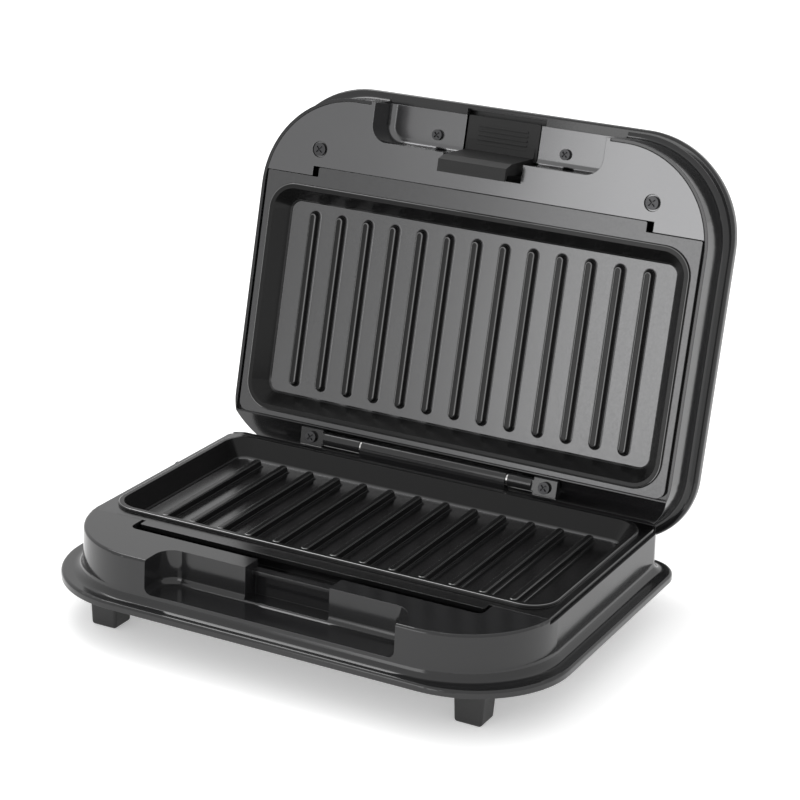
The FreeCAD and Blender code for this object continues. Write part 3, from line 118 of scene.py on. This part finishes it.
class PressFinishSettings(bpy.types.PropertyGroup):
    gloss_colour: colour("Gloss plastic", "Colour of the base's and lid's mouldings",
                         (0.012, 0.012, 0.0125))
    gloss_roughness: share("Gloss roughness", "Roughness of the gloss mouldings", 0.12)
    panel_colour: colour("Panel", "Colour of the lid's front panel", (0.13, 0.13, 0.132))
    panel_roughness: share("Panel roughness", "Roughness of the lid's front panel", 0.17)
    coating_colour: colour("Plate coating", "Colour of the coating on the plates' floors",
                           (0.105, 0.105, 0.106))
    coating_roughness: share("Coating roughness", "Roughness of the nonstick coating", 0.22)
    # painted shade: the ribs, the bead and the dish's sides are coloured near-black, though the coating
    # is the same as on the floor
    rib_shade_colour: colour("Painted shade on ribs and bead",
                       "Painted shade on the ribs, the bead and the dish's sides",
                       (0.007, 0.007, 0.0071))
    flange_colour: colour("Flange", "Colour of the coating on the plates' flanges",
                          (0.085, 0.085, 0.086))
    # painted highlight: colour of the thin bright lines along the crests' edges
    crest_highlight_colour: colour("Painted crest highlights", "Colour of the coating where the crests' edges are rubbed",
                         (0.2, 0.2, 0.2))
    floor_start: length("Floor starts", "Depth under the flange where the floor's satin finish starts",
                        0.0066)
    floor_end: length("Floor ends", "Depth under the flange where the floor's satin finish is full",
                      0.0076)
    latch_colour: colour("Latch", "Colour of the latch moulding", (0.013, 0.013, 0.013))
    latch_roughness: share("Latch roughness", "Roughness of the latch moulding", 0.45)
    cover_colour: colour("Covers", "Colour of the top and bottom covers", (0.014, 0.014, 0.0145))
    foot_colour: colour("Feet", "Colour of the feet", (0.012, 0.012, 0.012))
    steel_colour: colour("Steel", "Colour of the bright steel", (0.62, 0.61, 0.60))
    edge_radius: length("Edge radius", "Rounding of the mouldings' small edges", 0.00035)


class StudioSettings(bpy.types.PropertyGroup):
    floor_radius: length("Floor radius", "Radius of the studio floor", 6.0)
    floor_colour: colour("Floor", "Colour of the floor", (0.9, 0.9, 0.9))
    sky_strength: amount("Room light", "Strength of the white room's light", 1.0)
    key_power: amount("Key light", "Power of the soft light above", 9.0, unit="POWER")
    fill_power: amount("Fill light", "Power of the soft light in front", 2.3, unit="POWER")
    floor_glow: amount("Floor glow", "Light that the floor itself gives", 0.35)
    lens: amount("Lens", "Focal length of the camera", 108.6, unit="CAMERA")


# ------------------------------------------------------------------ shader helpers

def add(tree, kind, **inputs):
    """Add a node and set its sockets by name."""
    made = tree.nodes.new(kind)
    for name, given in inputs.items():
        made.inputs[name.replace("_", " ")].default_value = given
    return made


def new_material(name):
    material = bpy.data.materials.new(name)
    material.use_nodes = True
    tree = material.node_tree
    shader = tree.nodes["Principled BSDF"]
    return material, tree, shader


def object_space(tree):
    return tree.nodes.new("ShaderNodeTexCoord").outputs["Object"]


def noise(tree, where, scale, detail=2.0, roughness=0.5):
    made = add(tree, "ShaderNodeTexNoise", Scale=scale, Detail=detail, Roughness=roughness)
    tree.links.new(where, made.inputs["Vector"])
    return made.outputs["Fac"]


def remap(tree, source, low, high, start=0.0, end=1.0):
    """Map a factor from start..end onto low..high."""
    made = tree.nodes.new("ShaderNodeMapRange")
    for name, given in (("From Min", start), ("From Max", end), ("To Min", low), ("To Max", high)):
        made.inputs[name].default_value = given
    tree.links.new(source, made.inputs["Value"])
    return made.outputs["Result"]


def combine(tree, kind, first, second):
    made = tree.nodes.new("ShaderNodeMath")
    made.operation = kind
    tree.links.new(first, made.inputs[0])
    if isinstance(second, float):
        made.inputs[1].default_value = second
    else:
        tree.links.new(second, made.inputs[1])
    return made.outputs["Value"]


def colour_blend(tree, factor, under, over):
    """Blend two colours, each a socket or three numbers."""
    made = tree.nodes.new("ShaderNodeMix")
    made.data_type = "RGBA"
    tree.links.new(factor, made.inputs["Factor"])
    for place, given in ((MIX_UNDER, under), (MIX_OVER, over)):
        if isinstance(given, bpy.types.NodeSocket):
            tree.links.new(given, made.inputs[place])
        else:
            made.inputs[place].default_value = (*given, 1.0)
    return made.outputs[MIX_RESULT]


def dot_product(tree, first, second):
    """Dot product of a vector socket with another one or with three numbers."""
    dot = tree.nodes.new("ShaderNodeVectorMath")
    dot.operation = "DOT_PRODUCT"
    tree.links.new(first, dot.inputs[0])
    if isinstance(second, bpy.types.NodeSocket):
        tree.links.new(second, dot.inputs[1])
    else:
        dot.inputs[1].default_value = second
    return dot.outputs["Value"]


def rounded_normal(tree, radius):
    rounded = tree.nodes.new("ShaderNodeBevel")
    rounded.samples = BEVEL_SAMPLES
    rounded.inputs["Radius"].default_value = radius
    return rounded.outputs["Normal"]


def edge_mask(tree, radius, high=0.3):
    """One along sharp edges and zero on open faces, from how far a rounded normal leans."""
    flat = tree.nodes.new("ShaderNodeNewGeometry").outputs["Normal"]
    return remap(tree, dot_product(tree, rounded_normal(tree, radius), flat), 1.0, 0.0, 1.0 - high, 1.0)


def band(tree, source, rise, fall):
    """One between two slopes of a value and zero outside them."""
    return combine(tree, "MULTIPLY", remap(tree, source, 0.0, 1.0, *rise),
                   remap(tree, source, 1.0, 0.0, *fall))


def wander(tree, source, middle, spread):
    """A value that follows a noise to either side of its middle."""
    return remap(tree, source, middle - spread, middle + spread, NOISE_LOW, NOISE_HIGH)


def relief(tree, shader, height, distance, strength=1.0, edge_radius=None):
    """Fine relief from a height field, over softly rounded edges when a radius is given."""
    bump = tree.nodes.new("ShaderNodeBump")
    bump.inputs["Distance"].default_value = distance
    bump.inputs["Strength"].default_value = strength
    tree.links.new(height, bump.inputs["Height"])
    if edge_radius:
        tree.links.new(rounded_normal(tree, edge_radius), bump.inputs["Normal"])
    tree.links.new(bump.outputs["Normal"], shader.inputs["Normal"])


def lighten(shade, factor):
    return tuple(min(1.0, part * factor) for part in shade)


# ------------------------------------------------------------------ finishes

def moulded_plastic(name, shade, roughness, edge_radius, grain_scale, grain_depth,
                    edge_highlight_gain=2.2, spread=0.05):
    """Injection-moulded plastic: slow flow variation, fine skin texture and small edges lightened as a
    painted highlight.
    """
    material, tree, shader = new_material(name)
    where = object_space(tree)
    flow = noise(tree, where, 24.0, 3.0)
    skin = noise(tree, where, grain_scale, 3.0, 0.6)
    # painted highlight: the small edges are lightened in colour
    highlit = edge_mask(tree, edge_radius * 1.6)
    base = colour_blend(tree, flow, lighten(shade, 0.9), lighten(shade, 1.12))
    highlighted = colour_blend(tree, combine(tree, "MULTIPLY", highlit, 0.6), base,
                        lighten(shade, edge_highlight_gain))
    tree.links.new(highlighted, shader.inputs["Base Color"])
    tree.links.new(wander(tree, flow, roughness, spread), shader.inputs["Roughness"])
    relief(tree, shader, skin, grain_depth, 1.0, edge_radius)
    return material


def satin_metal_paint(name, shade, roughness, edge_radius):
    """Satin metallic paint: dark base with fine flake."""
    material, tree, shader = new_material(name)
    where = object_space(tree)
    flow = noise(tree, where, 10.0, 2.0)
    flake = noise(tree, where, 5200.0, 1.0)
    flecked = colour_blend(tree, remap(tree, flake, 0.0, 1.0, 0.35, 0.65), lighten(shade, 0.94),
                           lighten(shade, 1.06))
    tree.links.new(flecked, shader.inputs["Base Color"])
    shader.inputs["Metallic"].default_value = 1.0
    tree.links.new(wander(tree, flow, roughness, 0.03), shader.inputs["Roughness"])
    relief(tree, shader, flake, 4e-6, 0.5, edge_radius)
    return material


def nonstick_coating(name, node, facing, offset, settings):
    """Sprayed nonstick coating on cast aluminium: satin floor and flange, ribs, bead and dish sides
    darkened as painted shade, and painted highlights along the crests' edges.
    """
    material, tree, shader = new_material(name)
    into = node.matrix_world.inverted()
    facing = (into.to_3x3() @ facing).normalized()
    level = offset + facing.dot(into @ joint_point("lid_hinge"))
    where = object_space(tree)
    peel = noise(tree, where, 900.0, 2.0)
    flake = noise(tree, where, 4200.0, 1.0)
    height = dot_product(tree, where, facing)
    normal = tree.nodes.new("ShaderNodeTexCoord").outputs["Normal"]
    lean = dot_product(tree, normal, facing)
    deep = remap(tree, height, 0.0, 1.0, level - settings.floor_start, level - settings.floor_end)
    # painted highlight: the crests' fillets get a lighter, metallic colour
    crest = combine(tree, "MULTIPLY", band(tree, lean, CREST_RISE, CREST_FALL),
                    remap(tree, deep, 1.0, 0.0))
    flange = band(tree, height, [level + part for part in FLANGE_RISE],
                  [level + part for part in FLANGE_FALL])
    flange = combine(tree, "MULTIPLY", flange, remap(tree, lean, 0.0, 1.0, *FLANGE_LEAN))
    floor = colour_blend(tree, remap(tree, flake, 0.0, 1.0, 0.35, 0.65),
                         lighten(settings.coating_colour, 0.92),
                         lighten(settings.coating_colour, 1.08))
    # painted shade: the ribs, the bead and the dish's sides take the near-black colour
    dish = colour_blend(tree, deep, settings.rib_shade_colour, floor)
    coated = colour_blend(tree, flange, dish, settings.flange_colour)
    tree.links.new(colour_blend(tree, crest, coated, settings.crest_highlight_colour),
                   shader.inputs["Base Color"])
    bright = combine(tree, "MAXIMUM", combine(tree, "MAXIMUM", deep, flange), crest)
    tree.links.new(bright, shader.inputs["Metallic"])
    tree.links.new(wander(tree, peel, settings.coating_roughness, 0.03),
                   shader.inputs["Roughness"])
    shader.inputs["Specular IOR Level"].default_value = 0.22
    relief(tree, shader, peel, 5e-6, 0.5, settings.edge_radius)
    return material


def worked_steel(name, shade, roughness, stretch):
    """Turned or rolled steel: fine lines or grain by the stretch given, with a little tarnish."""
    material, tree, shader = new_material(name)
    where = object_space(tree)
    mapping = tree.nodes.new("ShaderNodeMapping")
    mapping.inputs["Scale"].default_value = stretch
    tree.links.new(where, mapping.inputs["Vector"])
    lines = noise(tree, mapping.outputs["Vector"], 1.0, 3.0, 0.6)
    tarnish = noise(tree, where, 160.0, 3.0)
    tree.links.new(colour_blend(tree, tarnish, lighten(shade, 0.85), shade),
                   shader.inputs["Base Color"])
    shader.inputs["Metallic"].default_value = 1.0
    tree.links.new(wander(tree, lines, roughness, 0.08), shader.inputs["Roughness"])
    relief(tree, shader, lines, 6e-6, 0.6, SMALL_EDGE)
    return material


def glazed_ceramic(name):
    material, tree, shader = new_material(name)
    where = object_space(tree)
    speck = noise(tree, where, 700.0, 2.0)
    tree.links.new(colour_blend(tree, speck, CERAMIC_DARK, CERAMIC_LIGHT),
                   shader.inputs["Base Color"])
    shader.inputs["Roughness"].default_value = 0.32
    relief(tree, shader, speck, 1e-5, 0.5, SMALL_EDGE)
    return material


def lens_plastic(name, shade):
    """Tinted lens moulding with fine diffusing facets."""
    material, tree, shader = new_material(name)
    where = object_space(tree)
    facets = tree.nodes.new("ShaderNodeTexVoronoi")
    facets.inputs["Scale"].default_value = 1400.0
    tree.links.new(where, facets.inputs["Vector"])
    tree.links.new(colour_blend(tree, facets.outputs["Distance"], shade, lighten(shade, 0.6)),
                   shader.inputs["Base Color"])
    shader.inputs["Roughness"].default_value = 0.12
    shader.inputs["Coat Weight"].default_value = 0.6
    relief(tree, shader, facets.outputs["Distance"], 3e-5, 0.4, SMALL_EDGE)
    return material


def finish_nodes(material, *names):
    """Give CAD nodes a finish through their objects' material slots."""
    for name in names:
        for place in NODES[name].material_slots:
            place.material = material


# ------------------------------------------------------------------ operators: finishes

class PANINI_OT_mouldings(bpy.types.Operator):
    """Finish the gloss mouldings of the base and the lid"""
    bl_idname = "panini.mouldings"
    bl_label = "Mouldings"

    def execute(self, context):
        settings = context.scene.press_finish
        gloss = moulded_plastic("gloss_moulding", settings.gloss_colour, settings.gloss_roughness,
                                settings.edge_radius, grain_scale=1500.0, grain_depth=6e-6)
        finish_nodes(gloss, "base_housing", "lid_housing", "hinge_bracket_left", "hinge_bracket_right")
        cover = moulded_plastic("cover_moulding", settings.cover_colour, 0.36, settings.edge_radius,
                                grain_scale=2600.0, grain_depth=2e-5, spread=0.015)
        finish_nodes(cover, "bottom_cover", "lid_top_cover", "cord_gland")
        return {"FINISHED"}


class PANINI_OT_panel(bpy.types.Operator):
    """Finish the lid's front panel"""
    bl_idname = "panini.panel"
    bl_label = "Lid panel"

    def execute(self, context):
        settings = context.scene.press_finish
        paint = satin_metal_paint("satin_panel_paint", settings.panel_colour,
                                  settings.panel_roughness, settings.edge_radius)
        finish_nodes(paint, "lid_front_panel")
        return {"FINISHED"}


class PANINI_OT_plates(bpy.types.Operator):
    """Finish the two grill plates"""
    bl_idname = "panini.plates"
    bl_label = "Grill plates"

    def execute(self, context):
        settings = context.scene.press_finish
        for name, (facing, offset) in PLATE_FACES.items():
            coating = nonstick_coating(name + "_coating", NODES[name], facing, offset, settings)
            finish_nodes(coating, name)
        return {"FINISHED"}


class PANINI_OT_latch(bpy.types.Operator):
    """Finish the latch"""
    bl_idname = "panini.latch"
    bl_label = "Latch"

    def execute(self, context):
        settings = context.scene.press_finish
        # the latch's edges get a weaker painted highlight
        black = moulded_plastic("latch_moulding", settings.latch_colour, settings.latch_roughness,
                                settings.edge_radius, grain_scale=3200.0, grain_depth=2.5e-5,
                                edge_highlight_gain=1.8, spread=0.04)
        shader = black.node_tree.nodes["Principled BSDF"]
        shader.inputs["Specular IOR Level"].default_value = 0.25
        finish_nodes(black, "latch")
        return {"FINISHED"}


class PANINI_OT_feet(bpy.types.Operator):
    """Finish the feet"""
    bl_idname = "panini.feet"
    bl_label = "Feet"

    def execute(self, context):
        settings = context.scene.press_finish
        rubber = moulded_plastic("foot_rubber", settings.foot_colour, 0.5, settings.edge_radius,
                                 grain_scale=2600.0, grain_depth=3e-5)
        finish_nodes(rubber, "foot_front_left", "foot_front_right", "foot_rear_left", "foot_rear_right")
        return {"FINISHED"}


class PANINI_OT_metalwork(bpy.types.Operator):
    """Finish pins, washers, spring and screws"""
    bl_idname = "panini.metalwork"
    bl_label = "Metalwork"

    def execute(self, context):
        settings = context.scene.press_finish
        bright = worked_steel("bright_steel_turned", settings.steel_colour, 0.24,
                              stretch=(60.0, 3200.0, 3200.0))
        finish_nodes(bright, "hinge_pin", "hinge_washer_left", "hinge_washer_right", "latch_pin",
                     "latch_spring")
        dark = worked_steel("screw_steel", SCREW_SHADE, 0.32, stretch=(1800.0, 1800.0, 1800.0))
        finish_nodes(dark, "lower_plate_screws", "bottom_cover_screws", "foot_screws",
                     "hinge_bracket_screws", "upper_plate_screws", "lid_panel_screws",
                     "latch_pocket_screws")
        return {"FINISHED"}


class PANINI_OT_heating(bpy.types.Operator):
    """Finish the heating parts and the lamps"""
    bl_idname = "panini.heating"
    bl_label = "Heating parts and lamps"

    def execute(self, context):
        sheath = worked_steel("element_sheath", SHEATH_SHADE, 0.42, stretch=(900.0, 900.0, 900.0))
        finish_nodes(sheath, "lower_heating_element", "upper_heating_element")
        sheet = worked_steel("reflector_sheet_metal", REFLECTOR_SHADE, 0.28,
                             stretch=(40.0, 2400.0, 2400.0))
        finish_nodes(sheet, "lower_reflector", "upper_reflector")
        white = glazed_ceramic("ceramic_body")
        finish_nodes(white, "lower_thermostat", "upper_thermostat", "thermal_fuse", "terminal_block")
        finish_nodes(lens_plastic("red_lens_plastic", RED_LENS), "power_lens")
        finish_nodes(lens_plastic("green_lens_plastic", GREEN_LENS), "ready_lens")
        return {"FINISHED"}


# ------------------------------------------------------------------ operator: studio

class PANINI_OT_studio(bpy.types.Operator):
    """Make the floor, the soft lights and the camera"""
    bl_idname = "panini.studio"
    bl_label = "Studio"

    def execute(self, context):
        settings = context.scene.press_studio
        scene = context.scene
        make_floor(settings)
        make_room(scene, settings)
        make_lights(scene, settings)
        make_camera(scene, settings)
        return {"FINISHED"}


def make_floor(settings):
    shape = bmesh.new()
    bmesh.ops.create_circle(shape, cap_ends=True, segments=96, radius=settings.floor_radius)
    mesh = bpy.data.meshes.new("studio_floor")
    shape.to_mesh(mesh)
    shape.free()
    floor = bpy.data.objects.new("studio_floor", mesh)
    floor.location.z = -FLOOR_DROP
    bpy.context.scene.collection.objects.link(floor)
    material, _, shader = new_material("pale_floor")
    shader.inputs["Base Color"].default_value = (*settings.floor_colour, 1.0)
    shader.inputs["Roughness"].default_value = 0.9
    shader.inputs["Specular IOR Level"].default_value = 0.2
    shader.inputs["Emission Color"].default_value = (1.0, 1.0, 1.0, 1.0)
    shader.inputs["Emission Strength"].default_value = settings.floor_glow
    mesh.materials.append(material)


def make_room(scene, settings):
    world = bpy.data.worlds.new("white_room")
    world.use_nodes = True
    sky = world.node_tree.nodes["Background"]
    sky.inputs["Color"].default_value = (1.0, 1.0, 1.0, 1.0)
    sky.inputs["Strength"].default_value = settings.sky_strength
    scene.world = world
    scene.view_settings.view_transform = "Standard"


def soft_light(scene, name, place, target, size, power):
    lamp = bpy.data.lights.new(name, "AREA")
    lamp.shape = "RECTANGLE"
    lamp.size, lamp.size_y = size
    lamp.energy = power
    holder = bpy.data.objects.new(name, lamp)
    holder.location = place
    holder.rotation_mode = "QUATERNION"
    holder.rotation_quaternion = (target - Vector(place)).to_track_quat("-Z", "Y")
    scene.collection.objects.link(holder)


def make_lights(scene, settings):
    middle = (CAD_LOW + CAD_HIGH) / 2
    soft_light(scene, "key_softbox", KEY_PLACE, middle, KEY_SIZE, settings.key_power)
    soft_light(scene, "fill_softbox", FILL_PLACE, FILL_TARGET, FILL_SIZE, settings.fill_power)


def make_camera(scene, settings):
    """Three-quarter view from the front right, a little above, with a slight roll."""
    flat = math.cos(CAMERA_RISE)
    back = Vector((math.sin(CAMERA_TURN) * flat, -math.cos(CAMERA_TURN) * flat,
                   math.sin(CAMERA_RISE)))
    level = Vector((math.cos(CAMERA_TURN), math.sin(CAMERA_TURN), 0.0))
    up = back.cross(level)
    right = level * math.cos(CAMERA_ROLL) + up * math.sin(CAMERA_ROLL)
    up = back.cross(right)
    lens = bpy.data.cameras.new("camera")
    lens.sensor_width = SENSOR_WIDTH
    lens.lens = settings.lens
    camera = bpy.data.objects.new("camera", lens)
    turned = Matrix((right, up, back)).transposed().to_4x4()
    camera.matrix_world = Matrix.Translation(joint_point("lid_hinge") + CAMERA_FROM_HINGE) @ turned
    scene.collection.objects.link(camera)
    scene.camera = camera


# ------------------------------------------------------------------ panel and registration

class PANINI_PT_press(bpy.types.Panel):
    """Lists the press's finishes and its studio"""
    bl_idname = "PANINI_PT_press"
    bl_label = "Panini Press"
    bl_space_type = "VIEW_3D"
    bl_region_type = "UI"
    bl_category = "Panini Press"

    def draw(self, context):
        for operator in OPERATORS:
            self.layout.operator(operator.bl_idname)
        for group in (context.scene.press_finish, context.scene.press_studio):
            column = self.layout.column()
            for name in group.__annotations__:
                column.prop(group, name)


SETTINGS = {
    "press_finish": PressFinishSettings,
    "press_studio": StudioSettings,
}
OPERATORS = (
    PANINI_OT_mouldings,
    PANINI_OT_panel,
    PANINI_OT_plates,
    PANINI_OT_latch,
    PANINI_OT_feet,
    PANINI_OT_metalwork,
    PANINI_OT_heating,
    PANINI_OT_studio,
)


def register():
    for name, group in SETTINGS.items():
        bpy.utils.register_class(group)
        setattr(bpy.types.Scene, name, bpy.props.PointerProperty(type=group))
    for operator in OPERATORS:
        bpy.utils.register_class(operator)
    bpy.utils.register_class(PANINI_PT_press)


def unregister():
    bpy.utils.unregister_class(PANINI_PT_press)
    for operator in reversed(OPERATORS):
        bpy.utils.unregister_class(operator)
    for name, group in SETTINGS.items():
        delattr(bpy.types.Scene, name)
        bpy.utils.unregister_class(group)


def main():
    register()
    for name in ("mouldings", "panel", "plates", "latch", "feet", "metalwork", "heating", "studio"):
        getattr(bpy.ops.panini, name)()


if __name__ == "__main__":
    main()
